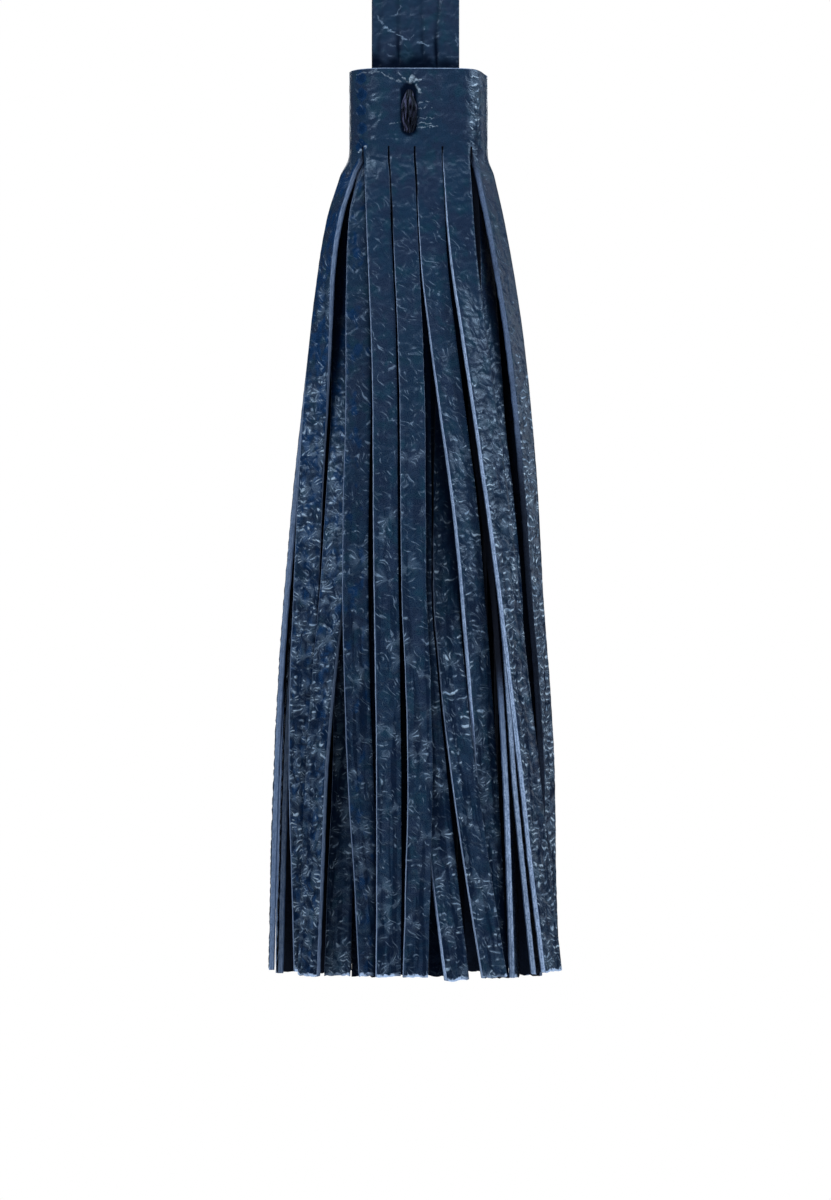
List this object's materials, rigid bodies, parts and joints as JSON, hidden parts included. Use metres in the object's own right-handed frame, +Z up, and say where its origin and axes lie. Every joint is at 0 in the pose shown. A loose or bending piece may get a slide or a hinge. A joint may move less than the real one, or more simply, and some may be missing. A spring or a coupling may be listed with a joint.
{
  "type": "leather tassel",
  "caption": "Flat leather tassel: a slit strip rolled into a short flattened head with a full fringe of narrow strips, hanging from a flat leather strap.",
  "frame": {"origin": "middle of the strap's top edge, from which the tassel hangs", "axes": "+Z up along the strap, +X along the head's long side to the viewer's right, -Y to the front with the bar tack"},
  "size_m": [0.0501, 0.0292, 0.1852],
  "materials": {
    "fringe_leather": "satin, crinkled grain",
    "strap_leather": "satin, fine grain"
  },
  "bodies": {
    "root": {"fringe": "fringe_leather", "strap": "strap_leather"}
  },
  "joints": []
}
